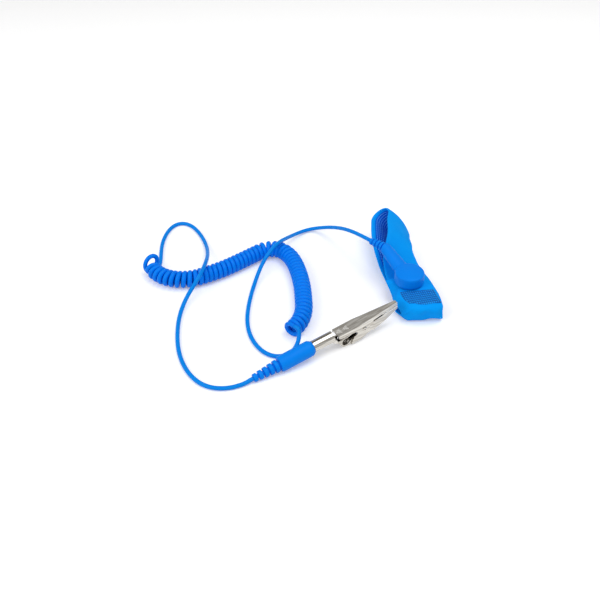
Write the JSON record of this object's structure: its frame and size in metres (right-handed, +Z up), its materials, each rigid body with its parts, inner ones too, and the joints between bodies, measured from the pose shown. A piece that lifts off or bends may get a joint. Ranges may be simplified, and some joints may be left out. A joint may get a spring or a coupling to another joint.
{
  "type": "esd wrist strap",
  "caption": "Blue fabric ESD wrist strap with a snap, a coiled cord, and a banana plug in a crocodile clip.",
  "frame": {"origin": "on the table, below the middle of the box round the band, the snap head and the clip", "axes": "+X to the right across the band, +Y away from the viewer along the band towards its far end, +Z up from the table"},
  "size_m": [0.168, 0.1478, 0.0261],
  "materials": {
    "fabric": "woven, matt",
    "lining": "woven with pale conductive threads, matt",
    "hook": "hook tape, matt",
    "cord": "smooth, satin",
    "moulding": "moulded, satin",
    "steel": "pressed sheet, nickel plated",
    "nickel": "nickel plated",
    "spring": "drawn wire",
    "brass": "bright"
  },
  "bodies": {
    "strap": {"band_outer": "fabric", "band_lining": "lining", "hook_patch": "hook", "contact_plate": "nickel", "snap_eyelet": "nickel", "snap_stud": "nickel", "cord_coil": "cord", "cord_snap_side": "cord", "cord_plug_side": "cord", "clip_body": "steel", "clip_pivot": "steel", "clip_spring": "spring"},
    "upper_jaw": {"clip_jaw": "steel"},
    "cage": {"plug_cage": "brass"},
    "plug": {"plug_pin": "nickel", "plug_grip": "moulding", "plug_relief": "moulding"},
    "ring": {"snap_ring": "brass"},
    "snap_head": {"snap_cap": "moulding", "snap_socket": "nickel", "snap_relief": "moulding"}
  },
  "joints": [
    {"name": "jaw_open", "type": "hinge", "parent": "strap", "child": "upper_jaw", "pos_m": [-0.00853, -0.03665, 0.00763], "axis": [0.515, -0.8572, 0], "range_deg": [0, 12], "stiffness_Nm_per_rad": 0.12, "deforming": ["clip_spring"]},
    {"name": "plug_pull", "type": "slide", "parent": "strap", "child": "cage", "axis": [-0.8493, -0.5103, -0.1349], "range_m": [0, 0.016], "deforming": ["cord_plug_side"]},
    {"name": "plug_turn", "type": "hinge", "parent": "cage", "child": "plug", "pos_m": [-0.0344, -0.0522, 0.00695], "axis": [0.8493, 0.5103, 0.1349], "continuous": true},
    {"name": "snap_pull", "type": "slide", "parent": "strap", "child": "ring", "axis": [0, 0, 1], "range_m": [0, 0.008], "deforming": ["cord_snap_side"]},
    {"name": "snap_swivel", "type": "hinge", "parent": "ring", "child": "snap_head", "pos_m": [0.01957, -0.00494, 0.01175], "axis": [0, 0, 1], "range_deg": [0, 35], "deforming": ["cord_snap_side"]}
  ]
}
